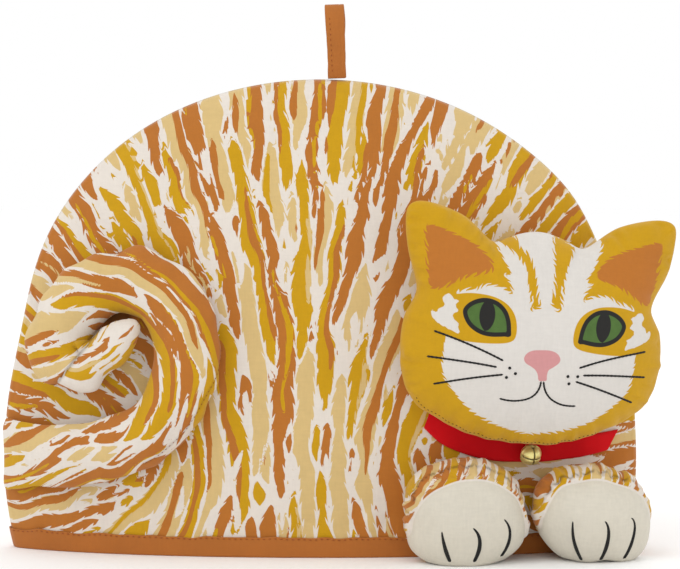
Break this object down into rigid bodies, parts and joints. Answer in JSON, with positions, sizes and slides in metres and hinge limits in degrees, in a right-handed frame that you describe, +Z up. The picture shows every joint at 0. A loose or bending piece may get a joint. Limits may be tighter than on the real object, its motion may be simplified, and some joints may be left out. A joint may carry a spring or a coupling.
{
  "type": "padded tea cosy in the shape of a crouching cat",
  "caption": "Padded, domed tea cosy shaped as a crouching cat, open at its bound hem, with a stuffed head, curled tail, paws, a collar with a bell and a hanging loop.",
  "frame": {"origin": "middle of the base of the whole object, on the surface that its hem and paws rest on", "axes": "+Z up; the front, with the head and paws, faces -Y; +X along the hem, towards the head's side"},
  "size_m": [0.37, 0.1158, 0.3052],
  "materials": {
    "cotton_print": "printed plain-weave cotton, matt: white ground with brown-orange, mustard and beige feathered stripes",
    "cotton_plain": "plain brown-orange cotton, matt",
    "face_print": "printed plain-weave cotton, matt: mustard and white face with stitched whiskers",
    "collar_red": "deep red ribbon, slight sheen",
    "bell_brass": "bright pale brass"
  },
  "bodies": {
    "root": {"front_panel": "cotton_print", "back_panel": "cotton_print", "binding_front": "cotton_plain", "binding_back": "cotton_plain", "hanging_loop": "cotton_plain", "tail": "cotton_print", "head": "face_print", "collar": "collar_red", "bell": "bell_brass", "paw_left": "cotton_print", "paw_right": "cotton_print"}
  },
  "joints": []
}
